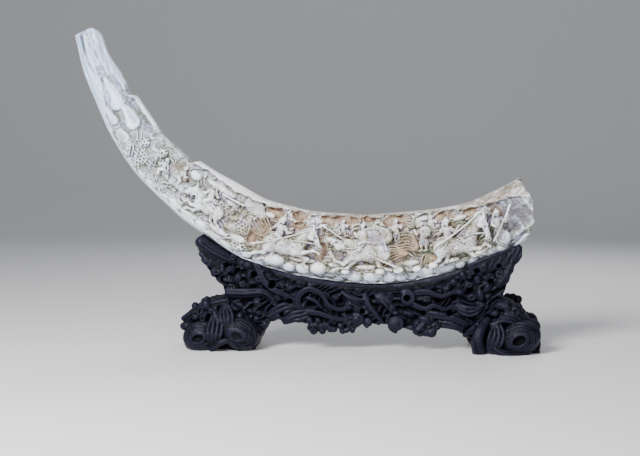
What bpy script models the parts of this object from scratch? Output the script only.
"""A carved mammoth tusk lying in a carved wooden stand.

Run it with blender --background --python part.py, or from Blender's text editor. The finished
model is in metres with +Z up: the carved side of the tusk faces -Y and the stand's feet stand
on Z = 0. Lengths are written in millimetres and angles in degrees, and are turned into metres
where a mesh is made.
"""

import math
import random

import bmesh
import bpy
import numpy as np
from mathutils import Matrix, Vector

MM = 0.001

# ---- driving dimensions ------------------------------------------------------------------

# The tusk's centreline from the broken tip to the hollow butt: x, y, z and the radius there.
STATIONS = np.array([
    (-445, 58, 622, 30), (-424, 48, 564, 34), (-384, 36, 495, 42), (-317, 20, 395, 51),
    (-253, 10, 336, 56), (-169, 3, 278, 63), (-102, 0, 239, 67), (-18, 0, 214, 67),
    (76, 0, 201, 70), (157, 0, 199, 72), (240, 0, 209, 69), (332, 4, 231, 63),
    (387, 8, 254, 61), (423, 12, 273, 58), (456, 16, 295, 57),
], float)

# How far the inner edge of the curve is cut away flat: distance along the tusk, depth.
TOP_CUT = ((-30, 0), (60, 0), (100, 4), (130, 9), (148, 12), (156, 3), (200, 3), (235, 6),
           (252, 10), (300, 9), (330, 11), (347, 15), (353, 8), (361, 1), (380, 0), (1200, 0))

# The carved recess: distance along the tusk, lower edge and upper edge round it, depth.
# Round the tusk 0 faces the viewer, 90 is the inner edge of the curve and -90 the underside.
RECESS = ((150, -20, 30, 0), (215, -35, 50, 5), (245, -40, 60, 11), (300, -35, 70, 13),
          (345, -32, 70, 15), (362, -30, 42, 17), (456, -28, 40, 20), (503, -34, 45, 22),
          (553, -32, 52, 25), (606, -31, 61, 26), (700, -33, 58, 26), (806, -35, 60, 27),
          (870, -36, 55, 27), (913, -38, 57, 26), (982, -42, 54, 27), (1028, -46, 48, 30),
          (1074, -55, 40, 34), (1140, -60, 36, 36))
RECESS_EDGE = 9                      # how many degrees its wall takes

# Where each end breaks off, by height across the tusk as a share of the radius.
TIP_END = ((-1, -12), (-0.75, -13), (-0.52, -4), (-0.36, -15), (0, -19), (0.55, -17), (1, -2))
BUTT_END = ((-1, 1058), (-0.85, 1068), (-0.6, 1084), (-0.1, 1099), (0.4, 1104), (0.85, 1105),
            (1, 1099))
PULP_DEPTH = 42                      # the hollow in the butt end
PULP_SHARE = 0.56                    # its width as a share of the tusk's
SPLIT_DEPTH = 9                      # the long crack beside the tip

FILL_LUMPS = 56                      # low rocks between the figures, along the recess

TUSK_TRIANGLES = 5600
BRIDGE_TRIANGLES = 1700
FOOT_TRIANGLES = 700
TUSK_VOXEL = 2.8
WOOD_VOXEL = 3.6

BED_GAP = 1.5                        # between the tusk and the wood under it
JOINT_GAP = 0.4                      # between the bridge and each foot
BRIDGE_HALF_DEPTH = 42               # of the body under the carving
CORE_HALF_DEPTH = 26                 # of the ridge that the tusk lies on
FOOT_HALF_DEPTH = 52
FOOT_REACH = 95                      # how far the feet's lobes stand out to the front and back

# The glued joints, seen from the front: two points on each line.
LEFT_JOINT = ((-153, 108), (-72, 33))
RIGHT_JOINT = ((392, 107), (316, 33))

# Outlines seen from the front, x and z. What lies past a joint is cut off by it.
BRIDGE_OUTLINE = (
    (-214, 226), (-204, 230), (-177, 207), (-145, 187), (-96, 171), (-68, 158), (-50, 140),
    (-10, 128), (45, 120), (100, 116), (165, 116), (234, 122), (284, 136), (318, 158),
    (352, 178), (399, 195), (428, 213), (433, 203), (429, 178), (415, 150), (402, 122),
    (386, 60), (316, 28), (293, 46), (273, 51), (266, 34), (244, 27), (224, 32), (185, 44),
    (125, 49), (108, 41), (86, 33), (36, 38), (-4, 48), (-44, 55), (-66, 50), (-74, 28),
    (-140, 60), (-153, 108), (-163, 126), (-184, 146), (-202, 172), (-214, 200))
CORE_OUTLINE = (
    (-196, 224), (-96, 175), (-20, 156), (60, 142), (150, 140), (240, 152), (330, 176),
    (420, 212), (400, 170), (300, 110), (0, 100), (-160, 150))
LEFT_FOOT_OUTLINE = (
    (-110, 118), (-146, 108), (-180, 98), (-209, 86), (-234, 60), (-244, 30), (-240, 8),
    (-228, -10), (-106, -10), (-88, 6), (-78, 36), (-50, 40), (-60, 80))
RIGHT_FOOT_OUTLINE = (
    (370, 116), (396, 106), (421, 97), (444, 84), (466, 52), (477, 24), (474, -10),
    (350, -10), (332, 10), (320, 32), (296, 40), (330, 92))

# Holes right through the bridge: x, z, radius.
HOLES = ((-98, 127, 8), (-24, 96, 7), (15, 92, 8), (76, 98, 7), (152, 82, 7), (208, 106, 8),
         (262, 84, 7), (336, 150, 8), (372, 160, 7))

# ---- numbers that follow from them -------------------------------------------------------

GAPS = np.hypot(*np.diff(STATIONS[:, [0, 2]], axis=0).T)
KNOTS = np.concatenate([[0.0], np.cumsum(GAPS)])
SLOPES = np.gradient(STATIONS, KNOTS, axis=0)


def smoothstep(value, low, high):
    share = np.clip((value - low) / (high - low), 0, 1)
    return share * share * (3 - 2 * share)


def centreline(s):
    """Rows of x, y, z and radius at the distances s, as a cubic through the stations."""
    s = np.atleast_1d(np.asarray(s, float))
    i = np.clip(np.searchsorted(KNOTS, s) - 1, 0, len(KNOTS) - 2)
    gap = (KNOTS[i + 1] - KNOTS[i])[:, None]
    u = (s - KNOTS[i])[:, None] / gap
    inner = np.clip(u, 0, 1)
    start, end = STATIONS[i], STATIONS[i + 1]
    rows = ((2 * inner**3 - 3 * inner**2 + 1) * start
            + (inner**3 - 2 * inner**2 + inner) * gap * SLOPES[i]
            + (3 * inner**2 - 2 * inner**3) * end
            + (inner**3 - inner**2) * gap * SLOPES[i + 1])
    # Past either end the line runs on straight.
    return rows + (u - inner) * gap * np.where(u > 1, SLOPES[i + 1], SLOPES[i])


def across(s):
    """The unit vector across the tusk towards the inner edge of its curve, in the XZ plane."""
    step = centreline(np.asarray(s) + 1.0) - centreline(np.asarray(s) - 1.0)
    normal = np.stack([-step[:, 2], np.zeros(len(step)), step[:, 0]], axis=1)
    return normal / np.linalg.norm(normal, axis=1)[:, None]


def around(s, phi, reach):
    """Points at the distances s, the angles phi in radians and a reach from the centreline."""
    forward = np.array([0.0, -1.0, 0.0])
    return (centreline(s)[:, :3] + (reach * np.sin(phi))[:, None] * across(s)
            + (reach * np.cos(phi))[:, None] * forward)


def slope(s):
    """The angle in degrees at which the tusk runs there, seen from the front."""
    step = centreline(s + 1)[0] - centreline(s - 1)[0]
    return math.degrees(math.atan2(step[2], step[0]))


def on_face(s, h, sink):
    """The point at a height h across the front of the tusk, sunk below its uncut surface."""
    row = centreline(s)[0]
    front = math.sqrt(max((row[3] - sink) ** 2 - h * h, 0.0))
    point = row[:3] + h * across(s)[0]
    return Vector(point) - Vector((0, front, 0))


# ---- meshes and modifiers ----------------------------------------------------------------


def mesh_object(name, shape, material=None):
    """An object of the bmesh, turned from millimetres into metres."""
    bmesh.ops.scale(shape, vec=(MM, MM, MM), verts=shape.verts)
    bmesh.ops.recalc_face_normals(shape, faces=shape.faces)
    mesh = bpy.data.meshes.new(name)
    shape.to_mesh(mesh)
    shape.free()
    mesh.shade_smooth()
    if material:
        mesh.materials.append(material)
    obj = bpy.data.objects.new(name, mesh)
    bpy.context.scene.collection.objects.link(obj)
    return obj


def cutter(name, shape):
    obj = mesh_object(name, shape)
    obj.hide_render = True
    obj.display_type = "WIRE"
    return obj


def cut(obj, tool):
    step = obj.modifiers.new("cut " + tool.name, "BOOLEAN")
    step.operation = "DIFFERENCE"
    step.object = tool


def carve(obj, voxel, triangles, smoothing):
    """Joins the overlapping shapes into one skin, rounds it and thins out its triangles."""
    join = obj.modifiers.new("join", "REMESH")
    join.mode = "VOXEL"
    join.voxel_size = voxel * MM
    join.use_smooth_shade = True
    rounding = obj.modifiers.new("round", "SMOOTH")
    rounding.factor = 0.5
    rounding.iterations = smoothing
    thin = obj.modifiers.new("thin", "DECIMATE")
    thin.use_collapse_triangulate = True
    graph = bpy.context.evaluated_depsgraph_get()
    thin.show_viewport = thin.show_render = False
    graph.update()
    faces = len(obj.evaluated_get(graph).data.polygons)
    thin.show_viewport = thin.show_render = True
    thin.ratio = triangles / (2 * faces)


def make_material(name, colour, roughness):
    material = bpy.data.materials.new(name)
    material.use_nodes = True
    shader = material.node_tree.nodes["Principled BSDF"]
    shader.inputs["Base Color"].default_value = (*colour, 1)
    shader.inputs["Roughness"].default_value = roughness
    shader.inputs["Metallic"].default_value = 0.0
    return material


def ball(shape, centre, half, turn=0.0):
    """An ellipsoid of half sizes (x, y, z), turned about Y by an angle in degrees."""
    place = (Matrix.Translation(centre) @ Matrix.Rotation(math.radians(-turn), 4, "Y")
             @ Matrix.Diagonal((*half, 1)))
    bmesh.ops.create_icosphere(shape, subdivisions=2, radius=1.0, matrix=place)


def stone(shape, s, h, along, high, deep, sink):
    """An ellipsoid that lies in the tusk's surface and turns with it."""
    centre = on_face(s, h, sink)
    outward = (centre - Vector(centreline(s)[0][:3])).normalized()
    run = Vector(centreline(s + 1)[0][:3] - centreline(s - 1)[0][:3])
    run = (run - outward * run.dot(outward)).normalized()
    turn = Matrix((run, outward, run.cross(outward))).transposed().to_4x4()
    place = Matrix.Translation(centre) @ turn @ Matrix.Diagonal((along, deep, high, 1))
    bmesh.ops.create_icosphere(shape, subdivisions=2, radius=1.0, matrix=place)


def limb(shape, start, end, start_radius, end_radius):
    """A round bar from start to end with a ball at each end."""
    start, end = Vector(start), Vector(end)
    line = end - start
    place = (Matrix.Translation((start + end) / 2)
             @ line.to_track_quat("Z", "Y").to_matrix().to_4x4())
    bmesh.ops.create_cone(shape, cap_ends=True, segments=10, radius1=start_radius,
                          radius2=end_radius, depth=line.length, matrix=place)
    for point, radius in ((start, start_radius), (end, end_radius)):
        ball(shape, point, (radius, radius, radius))


def strand(shape, points, start_radius, end_radius):
    """A run of limbs through the points, tapering from one end to the other."""
    runs = len(points) - 1
    for i in range(runs):
        here = start_radius + (end_radius - start_radius) * i / runs
        there = start_radius + (end_radius - start_radius) * (i + 1) / runs
        limb(shape, points[i], points[i + 1], here, there)


def slab(shape, outline, half_depth):
    """An outline in the XZ plane, extruded to both sides of it."""
    front = [shape.verts.new((x, -half_depth, z)) for x, z in outline]
    face = shape.faces.new(front)
    grown = bmesh.ops.extrude_face_region(shape, geom=[face])["geom"]
    moved = [item for item in grown if isinstance(item, bmesh.types.BMVert)]
    bmesh.ops.translate(shape, verts=moved, vec=(0, 2 * half_depth, 0))


# ---- the tusk's own surface --------------------------------------------------------------


def table(rows, column, at):
    values = np.array(rows, float)
    return np.interp(at, values[:, 0], values[:, column])


def weathering(s, phi):
    """Slow swells and long shallow ridges, all a little under the uncut surface, in mm."""
    return (0.7 * np.sin(s / 37 + 2 * phi) + 0.5 * np.sin(s / 19 - 3 * phi + 1)
            + 0.4 * np.sin(11 * phi + 0.6 * np.sin(s / 60)) - 1.6)


def surface_reach(s, phi):
    """How far the tusk's surface is from its centreline, for arrays of s and phi."""
    radius = centreline(s)[:, 3]
    degrees = np.degrees((phi + math.pi) % (2 * math.pi) - math.pi)
    reach = radius + weathering(s, phi)

    wander = 3 * np.sin(s / 17) + 2.5 * np.sin(s / 7.3 + 1)
    low = table(RECESS, 1, s) + wander
    high = table(RECESS, 2, s) + 0.7 * wander
    inside = (smoothstep(degrees, low - RECESS_EDGE / 2, low + RECESS_EDGE / 2)
              * (1 - smoothstep(degrees, high - RECESS_EDGE / 2, high + RECESS_EDGE / 2)))
    floor = 2.0 * np.sin(s / 11 + 3 * phi) + 1.5 * np.sin(s / 6.1 - 5 * phi)
    reach -= inside * (table(RECESS, 3, s) + floor * smoothstep(s, 200, 260))

    # The boulders along the underside stand in a band that is cut back a little.
    band = smoothstep(degrees, -78, -62) * (1 - smoothstep(degrees, low - 4, low + 4))
    reach -= 6 * band * smoothstep(s, 225, 260) * (1 - smoothstep(s, 1000, 1050))

    # The groove behind the thin wall above the boulders, and the long split beside the tip.
    wall_groove = np.exp(-(((degrees - 42) / 10) ** 2))
    reach -= 10 * wall_groove * smoothstep(s, 145, 165) * (1 - smoothstep(s, 215, 245))
    split = np.exp(-(((degrees + 26 - 0.05 * s) / 5) ** 2))
    reach -= SPLIT_DEPTH * split * (1 - smoothstep(s, 20, 85))

    # The flat cut along the inner edge.
    limit = radius - table(TOP_CUT, 1, s)
    height = reach * np.sin(phi)
    return np.where(height > limit, limit / np.maximum(np.sin(phi), 0.2), reach)


def add_tusk_body(shape, rings=330, columns=112):
    """The closed skin: rings from the tip to the butt, and shrinking rings over both ends."""
    phi = np.linspace(0, 2 * math.pi, columns, endpoint=False)
    height = np.sin(phi)
    jag = 2.0 * np.sin(3 * phi + 1) + 1.5 * np.sin(7 * phi)
    first = table(TIP_END, 1, height) + 0.5 * jag
    last = table(BUTT_END, 1, height) + jag
    loops = []
    for share in (0.35, 0.7, 0.92):
        loops.append((first - 4 * (1 - share**2), share))
    for i in range(rings):
        loops.append((first + (last - first) * i / (rings - 1), 1.0))
    for share in (0.93, 0.84, 0.74, 0.65, 0.56, 0.46, 0.36, 0.24, 0.12):
        hollow = PULP_DEPTH * (1 - smoothstep(share, 0.1, PULP_SHARE + 0.12))
        flat = last.mean() + (last - last.mean()) * share
        loops.append((flat - hollow, share))
    rows = []
    for along, share in loops:
        reach = surface_reach(np.clip(along, first, last), phi) * share
        rows.append([shape.verts.new(point) for point in around(along, phi, reach)])
    for lower, upper in zip(rows, rows[1:]):
        for j in range(columns):
            k = (j + 1) % columns
            shape.faces.new((lower[j], lower[k], upper[k], upper[j]))
    for ring in (rows[0], rows[-1]):
        middle = sum((v.co for v in ring), Vector()) / columns
        centre = shape.verts.new(middle)
        for j in range(columns):
            shape.faces.new((ring[j], ring[(j + 1) % columns], centre))


# ---- what is carved out of it ------------------------------------------------------------


class Spot:
    """A figure's own frame on the carved face: right along it, up across it, out of it.

    The frame bends with the tusk, so that a figure's high points stay in the uncut surface.
    """

    def __init__(self, s, h, sink, lean=0.0, size=1.0, facing=1):
        self.s = s
        self.h = h
        self.sink = sink
        self.size = size
        self.facing = facing
        self.cos = math.cos(math.radians(lean))
        self.sin = math.sin(math.radians(lean))

    def at(self, right, up, out=0.0):
        """The point at a place in the figure's own frame. Lean is measured from the tusk's run."""
        right *= self.facing
        along = (right * self.cos - up * self.sin) * self.size
        high = (right * self.sin + up * self.cos) * self.size
        return on_face(self.s + along, self.h + high, self.sink - out * self.size)

    def ball(self, shape, centre, half):
        length, height, depth = (value * self.size for value in half)
        turn = slope(self.s) + math.degrees(math.atan2(self.sin, self.cos))
        ball(shape, self.at(*centre), (length, depth, height), turn)

    def limb(self, shape, start, end, start_radius, end_radius):
        limb(shape, self.at(*start), self.at(*end), start_radius * self.size,
             end_radius * self.size)

    def strand(self, shape, points, start_radius, end_radius):
        strand(shape, [self.at(*point) for point in points], start_radius * self.size,
               end_radius * self.size)


def horse(shape, spot, neck_up, head_down, stride):
    """A horse of about 90 mm from rump to nose, at its middle."""
    spot.ball(shape, (0, 0, 8), (26, 13, 11))
    spot.ball(shape, (-21, 2, 9), (16, 14, 12))
    spot.ball(shape, (20, 1, 9), (14, 14, 12))
    poll = (40, 12 + neck_up, 11)
    nose = (poll[0] + 15, poll[1] - head_down, 13)
    spot.limb(shape, (22, 5, 9), poll, 12.5, 7.5)
    spot.limb(shape, poll, nose, 7.5, 4.5)
    spot.limb(shape, (poll[0] - 3, poll[1] + 2, 11), (poll[0] - 2, poll[1] + 8, 11), 3.4, 2.6)
    spot.strand(shape, ((20, -6, 12), (30 + stride, -13, 13), (26 + stride, -24, 12)), 6, 3)
    spot.strand(shape, ((22, -4, 9), (40 + stride, -10, 8), (46 + stride, -19, 7)), 6, 3)
    spot.strand(shape, ((-25, -5, 12), (-34, -16, 11), (-44, -24, 10)), 7, 3)
    spot.strand(shape, ((-20, -6, 7), (-22, -18, 6), (-32, -27, 6)), 6, 3)
    spot.strand(shape, ((-33, 8, 7), (-44, 10, 8), (-54, 2, 8)), 4, 5)


def rider(shape, spot, reach):
    """A seated rider of about 60 mm, whose hands reach forward and up."""
    spot.limb(shape, (-2, 11, 15), (8, 1, 18), 6, 5)
    spot.limb(shape, (8, 1, 18), (5, -11, 18), 5, 3.8)
    spot.limb(shape, (-2, 14, 11), (1, 29, 11), 10.5, 9.5)
    spot.ball(shape, (3, 43, 12), (7, 8, 7))
    spot.strand(shape, ((4, 32, 15), (14, 24, 18), (22, 24 + reach, 18)), 4.6, 3.2)
    spot.strand(shape, ((-5, 32, 8), (-14, 26, 8), (-8, 20 + reach, 14)), 4.6, 3.2)


def warrior(shape, spot, reach):
    """A standing warrior of about 62 mm with one arm raised and one across the body."""
    spot.limb(shape, (-4, -28, 6), (-3, -8, 8), 5, 6.5)
    spot.limb(shape, (7, -28, 6), (4, -8, 8), 5, 6.5)
    spot.ball(shape, (0, -7, 8), (12, 10, 9))
    spot.limb(shape, (0, 2, 9), (0, 13, 9), 9, 9)
    spot.ball(shape, (1, 28, 10), (7, 8.5, 7))
    spot.strand(shape, ((8, 14, 10), (17, 10, 14), (20, 12 + reach, 14)), 4.6, 3.4)
    spot.strand(shape, ((-8, 14, 10), (-13, 3, 14), (-2, -1, 19)), 4.6, 3.4)


def lance(shape, start, end, radius=3.0):
    """A straight shaft between two (s, h, sink) places, sunk into the relief at its ends."""
    limb(shape, on_face(*start), on_face(*end), radius, radius)


def pine(shape, s, h, sink, spread):
    """A pine's clump of foliage: knobs packed round a middle, on a short trunk."""
    spot = Spot(s, h, sink)
    spot.limb(shape, (0, -spread * 1.1, -2), (0, 0, 0), 3, 3)
    for i in range(9):
        angle = 2.4 * i
        away = spread * math.sqrt(i / 9)
        spot.ball(shape, (away * math.cos(angle), away * math.sin(angle), 3), (5, 5, 6))


def flag(shape, s, h, sink, lean, length, height):
    """A three-cornered flag beside its staff."""
    spot = Spot(s, h, sink, lean)
    spot.limb(shape, (0, -height, 0), (0, height * 0.6, 0), 2.8, 2.8)
    for i in range(4):
        edge = height * 0.55 * (1 - i / 4)
        spot.limb(shape, (0, edge - height * 0.1, 1), (length * (1 - i / 5), 0, 2), 2.8, 2.6)


def fan_tail(shape, s, h, sink, lean, length):
    """A streaming tail, spreading in five locks."""
    spot = Spot(s, h, sink, lean)
    for i in range(5):
        lift = (i - 2) * 0.16 * length
        spot.strand(shape, ((0, 0, 2), (length * 0.55, lift * 0.8, 5), (length, lift, 2)), 3.4, 2)


HORSES = (  # s, h, sink, lean, size, facing, neck up, head down, stride
    (604, -12, 27, 2, 1.22, 1, 14, 12, 4),
    (766, -4, 27, 2, 1.22, -1, 10, 10, 0),
    (936, -14, 27, -4, 1.20, 1, 17, 19, 0),
    (366, 0, 17, 4, 0.62, 1, 8, 8, 0),
    (432, -4, 20, 2, 0.95, -1, 8, 8, 0),
)
RIDERS = (  # s, h, sink, lean, size, facing, reach
    (604, -6, 26, 3, 1.15, 1, 0),
    (770, 2, 26, 0, 1.12, -1, 8),
    (930, -8, 26, -8, 1.12, 1, 6),
    (425, 4, 20, 8, 0.9, -1, 4),
)
WARRIORS = (  # s, h, sink, lean, size, facing, reach
    (1030, -8, 28, -16, 1.0, 1, 10),
    (700, 22, 25, 0, 0.72, -1, 6),
    (876, 14, 25, -5, 0.8, -1, 8),
    (652, 30, 25, 0, 0.6, 1, 4),
    (824, 32, 25, -2, 0.62, 1, 6),
    (322, 4, 15, 14, 0.62, 1, 4),
    (520, 20, 22, 6, 0.62, 1, 4),
)
LANCES = (  # each end as s, h, sink
    ((540, -22, 4), (676, 44, 8)),
    ((671, 46, 8), (818, -30, 3)),
    ((900, -2, 3), (1016, 42, 5)),
    ((382, 8, 9), (439, -3, 8)),
    ((445, 33, 7), (493, 36, 7)),
    ((1061, 18, 6), (1011, -25, 4)),
    ((786, 66, 12), (804, 4, 6)),
)
BOULDERS = (  # s, h, half along, half across, half out
    (235, -40, 20, 9, 8), (275, -44, 20, 9, 8), (318, -46, 22, 10, 8),
    (362, -48, 22, 10, 9), (402, -50, 20, 11, 9), (440, -52, 20, 12, 9),
    (480, -54, 22, 11, 9), (527, -50, 24, 14, 9), (587, -42, 19, 13, 13),
    (634, -50, 19, 11, 11), (672, -43, 13, 10, 12), (682, -60, 14, 7, 9),
    (711, -60, 20, 11, 11), (742, -52, 15, 11, 12), (772, -52, 15, 11, 12),
    (811, -54, 17, 12, 12), (840, -52, 11, 11, 12), (868, -54, 16, 12, 12),
    (908, -52, 20, 14, 12), (940, -54, 12, 10, 10), (960, -50, 15, 12, 12),
    (991, -48, 13, 13, 11), (1028, -50, 22, 8, 8),
    (152, -8, 16, 9, 8), (206, -12, 19, 13, 10),
)
CLOUDS = (  # s, h, half along, half across, half out, sink
    (434, 40, 32, 9, 9, 9), (376, 32, 13, 10, 9, 9), (470, 20, 16, 7, 8, 12),
    (532, 40, 22, 11, 8, 12), (612, 46, 20, 6, 7, 16), (735, 42, 18, 7, 8, 16),
    (772, 24, 24, 11, 9, 14), (855, 44, 20, 7, 8, 16), (968, 44, 18, 7, 8, 12),
    (512, -14, 16, 12, 9, 12), (470, -26, 22, 9, 8, 9), (300, 24, 16, 9, 8, 8),
    (250, 26, 16, 11, 8, 8), (855, -18, 20, 10, 9, 11), (1052, 30, 14, 9, 8, 20),
)


def add_carving(shape):
    for s, h, sink, lean, size, facing, *pose in HORSES:
        horse(shape, Spot(s, h, sink, lean, size, facing), *pose)
    for s, h, sink, lean, size, facing, reach in RIDERS:
        rider(shape, Spot(s, h, sink, lean, size, facing), reach)
    for s, h, sink, lean, size, facing, reach in WARRIORS:
        warrior(shape, Spot(s, h, sink, lean, size, facing), reach)
    for start, end in LANCES:
        lance(shape, start, end)
    for s, h, along, high, deep in BOULDERS:
        stone(shape, s, h, along, high, deep, deep)
    for s, h, along, high, deep, sink in CLOUDS:
        stone(shape, s, h, along, high, deep, max(sink, deep))
    for place in ((236, -18, 10, 12), (282, -16, 12, 13), (458, 4, 16, 15), (508, -6, 18, 12)):
        pine(shape, *place)
    flag(shape, 492, 42, 14, 0, 22, 16)
    flag(shape, 655, 44, 16, 0, 16, 12)
    fan_tail(shape, 566, 4, 14, 164, 26)
    fan_tail(shape, 805, -8, 13, -10, 32)
    fan_tail(shape, 884, 2, 13, 160, 30)
    for i in range(FILL_LUMPS):
        s = 240 + 830 * i / (FILL_LUMPS - 1)
        low, high, depth = (table(RECESS, column, s) for column in (1, 2, 3))
        degrees = low + 8 + (high - low - 16) * (0.618 * i % 1)
        h = (centreline(s)[0][3] - depth) * math.sin(math.radians(degrees))
        stone(shape, s, h, 11 + i % 4, 8 + i % 3, 8, depth - 1)
    # The drop-shaped boulder and the big one below it, near the tip.
    limb(shape, on_face(98, 5, 6), on_face(140, 4, 11), 5, 12)
    limb(shape, on_face(166, 12, 9), on_face(196, 18, 13), 9, 15)


def make_tusk():
    ivory = make_material("fossil ivory", (0.55, 0.54, 0.50), 0.45)
    shape = bmesh.new()
    add_tusk_body(shape)
    add_carving(shape)
    tusk = mesh_object("tusk", shape, ivory)
    carve(tusk, TUSK_VOXEL, TUSK_TRIANGLES, 1)


# ---- the stand ---------------------------------------------------------------------------


def bed_cutter():
    """The tusk's uncut form, a little larger, which hollows the top of the wood."""
    shape = bmesh.new()
    columns = 30
    phi = np.linspace(0, 2 * math.pi, columns, endpoint=False)
    rows = []
    for s in np.arange(300, 1170, 28.0):
        along = np.full(columns, s)
        reach = centreline(along)[:, 3] + BED_GAP
        rows.append([shape.verts.new(point) for point in around(along, phi, reach)])
    for lower, upper in zip(rows, rows[1:]):
        for j in range(columns):
            k = (j + 1) % columns
            shape.faces.new((lower[j], lower[k], upper[k], upper[j]))
    shape.faces.new(rows[0])
    shape.faces.new(rows[-1])
    return cutter("tusk_bed", shape)


def half_space(name, line, side):
    """A big block whose face lies along the line, on one side of it, half a joint gap away."""
    (x1, z1), (x2, z2) = line
    along = Vector((x2 - x1, 0, z2 - z1)).normalized()
    away = Vector((-along.z, 0, along.x)) * side
    centre = Vector(((x1 + x2) / 2, 0, (z1 + z2) / 2)) + away * (150 - JOINT_GAP / 2)
    turn = Matrix((along, Vector((0, 1, 0)), away)).transposed().to_4x4()
    shape = bmesh.new()
    bmesh.ops.create_cube(shape, size=300, matrix=Matrix.Translation(centre) @ turn)
    return cutter(name, shape)


def floor_cutter():
    shape = bmesh.new()
    bmesh.ops.create_cube(shape, size=1, matrix=Matrix.Translation((100, 0, -50))
                          @ Matrix.Diagonal((900, 400, 100, 1)))
    return cutter("floor_plane", shape)


def hole_cutters():
    shape = bmesh.new()
    for x, z, radius in HOLES:
        place = Matrix.Translation((x, 0, z)) @ Matrix.Rotation(math.radians(90), 4, "X")
        bmesh.ops.create_cone(shape, cap_ends=True, segments=7, radius1=radius,
                              radius2=radius * 0.8, depth=3 * BRIDGE_HALF_DEPTH, matrix=place)
    return cutter("bridge_holes", shape)


def scroll(shape, x, z, y, size, turns, lean, radius):
    """A ribbon rolled up into a flat spiral, with its tail running off."""
    points = []
    steps = int(8 * turns)
    for i in range(steps + 1):
        angle = math.radians(lean) + 2 * math.pi * i / 8
        away = size * (0.25 + 0.75 * i / steps)
        points.append(Vector((x + away * math.cos(angle), y, z + away * math.sin(angle))))
    strand(shape, points, radius, radius * 0.7)


def wave(shape, start, end, y, swing, waves, radius):
    """A ribbon from start to end (x, z), swinging to both sides of the straight line."""
    (x1, z1), (x2, z2) = start, end
    length = math.hypot(x2 - x1, z2 - z1)
    side = ((z1 - z2) / length, (x2 - x1) / length)
    points = []
    for i in range(13):
        share = i / 12
        off = swing * math.sin(2 * math.pi * waves * share)
        points.append(Vector((x1 + (x2 - x1) * share + side[0] * off, y,
                              z1 + (z2 - z1) * share + side[1] * off)))
    strand(shape, points, radius, radius * 0.75)


def beads(shape, corner, far, y, count, radius, seed):
    """Knobs strewn over a slanted box between two corners (x, z)."""
    rng = random.Random(seed)
    for _ in range(count):
        x = rng.uniform(corner[0], far[0])
        z = rng.uniform(corner[1], far[1])
        size = radius * rng.uniform(0.75, 1.3)
        ball(shape, Vector((x, y, z)), (size, size, size))


def dress_bridge(shape, face):
    """The carving on the bridge's front face (face = -1) or back face (face = 1)."""
    y = face * BRIDGE_HALF_DEPTH
    wave(shape, (-205, 206), (-74, 142), y * 0.85, 3, 1.0, 13)
    wave(shape, (-190, 165), (-110, 118), y, 8, 1.5, 10)
    beads(shape, (-165, 130), (-100, 165), y * 1.05, 11, 9, 3)
    wave(shape, (-110, 116), (20, 112), y * 1.05, 8, 1.5, 8)
    wave(shape, (-70, 78), (80, 92), y * 1.05, 10, 1.5, 8)
    scroll(shape, 4, 94, y * 1.08, 22, 1.2, 20, 7)
    wave(shape, (30, 106), (136, 66), y * 1.1, 9, 1.0, 7)
    beads(shape, (0, 44), (110, 60), y, 12, 10, 5)
    scroll(shape, 110, 66, y * 1.08, 15, 1.1, 200, 6)
    wave(shape, (146, 104), (205, 64), y * 1.1, 4, 0.5, 13)
    ball(shape, Vector((190, y * 1.05, 64)), (17, 13, 14))
    wave(shape, (215, 108), (320, 92), y * 1.05, 8, 1.5, 9)
    beads(shape, (222, 38), (264, 66), y, 8, 12, 7)
    wave(shape, (250, 80), (350, 66), y * 1.1, 6, 1.0, 9)
    scroll(shape, 330, 124, y * 1.08, 20, 1.1, 90, 8)
    wave(shape, (300, 138), (416, 190), y * 0.85, 4, 1.5, 13)
    wave(shape, (372, 128), (416, 168), y, 5, 1.0, 11)
    wave(shape, (-60, 126), (290, 122), y * 0.9, 5, 2.5, 9)


def dress_left_foot(shape, face):
    reach = face * FOOT_REACH
    ball(shape, Vector((-200, reach - face * 36, 32)), (42, 36, 40))
    ball(shape, Vector((-128, reach - face * 36, 36)), (40, 36, 40))
    ball(shape, Vector((-168, reach - face * 54, 70)), (52, 30, 30))
    scroll(shape, -206, 30, reach - face * 8, 21, 1.1, 40, 6)
    scroll(shape, -124, 34, reach - face * 8, 21, 1.1, 160, 6)
    wave(shape, (-166, 10), (-178, 84), reach - face * 14, 4, 1.0, 9)
    wave(shape, (-226, 62), (-150, 100), reach - face * 30, 5, 1.5, 10)
    ball(shape, Vector((-84, face * 50, 50)), (15, 18, 13))
    ball(shape, Vector((-232, face * 30, 40)), (14, 24, 26))


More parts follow.
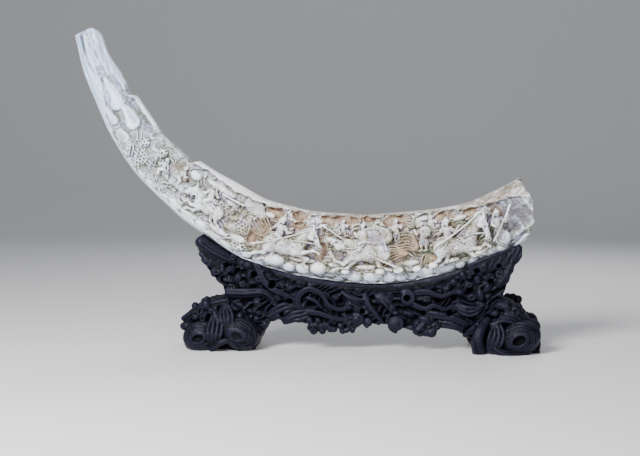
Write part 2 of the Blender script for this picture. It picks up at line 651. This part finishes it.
def dress_right_foot(shape, face):
    reach = face * FOOT_REACH
    ball(shape, Vector((356, reach - face * 36, 30)), (32, 36, 38))
    ball(shape, Vector((428, reach - face * 36, 34)), (46, 36, 42))
    ball(shape, Vector((404, reach - face * 54, 76)), (46, 30, 28))
    scroll(shape, 436, 34, reach - face * 8, 25, 1.1, 60, 6)
    wave(shape, (372, 100), (450, 80), reach - face * 34, 5, 1.5, 11)
    wave(shape, (384, 14), (464, 20), reach - face * 10, 4, 1.0, 9)
    wave(shape, (334, 56), (380, 10), reach - face * 12, 3, 0.5, 9)
    ball(shape, Vector((430, reach - face * 30, 76)), (17, 16, 13))
    ball(shape, Vector((460, face * 28, 42)), (15, 24, 28))


def make_wooden(name, slabs, dress, triangles, tools, wood):
    """A piece of the stand: its slabs, the carving on both faces, and then the cuts."""
    shape = bmesh.new()
    for outline, half_depth in slabs:
        slab(shape, outline, half_depth)
    for face in (-1, 1):
        dress(shape, face)
    piece = mesh_object(name, shape, wood)
    carve(piece, WOOD_VOXEL, triangles, 2)
    for tool in tools:
        cut(piece, tool)


def make_stand():
    wood = make_material("dark stained wood", (0.022, 0.021, 0.030), 0.35)
    floor = floor_cutter()
    bed = bed_cutter()
    holes = hole_cutters()
    past_left = half_space("past_left_joint", LEFT_JOINT, -1)
    past_right = half_space("past_right_joint", RIGHT_JOINT, 1)
    within_left = half_space("within_left_joint", LEFT_JOINT, 1)
    within_right = half_space("within_right_joint", RIGHT_JOINT, -1)
    bridge_slabs = ((BRIDGE_OUTLINE, BRIDGE_HALF_DEPTH), (CORE_OUTLINE, CORE_HALF_DEPTH))
    make_wooden("stand_bridge", bridge_slabs, dress_bridge, BRIDGE_TRIANGLES,
                (past_left, past_right, bed, holes), wood)
    make_wooden("stand_foot_left", ((LEFT_FOOT_OUTLINE, FOOT_HALF_DEPTH),), dress_left_foot,
                FOOT_TRIANGLES, (within_left, floor), wood)
    make_wooden("stand_foot_right", ((RIGHT_FOOT_OUTLINE, FOOT_HALF_DEPTH),), dress_right_foot,
                FOOT_TRIANGLES, (within_right, floor), wood)


def main():
    for obj in list(bpy.data.objects):
        bpy.data.objects.remove(obj)
    make_tusk()
    make_stand()


main()
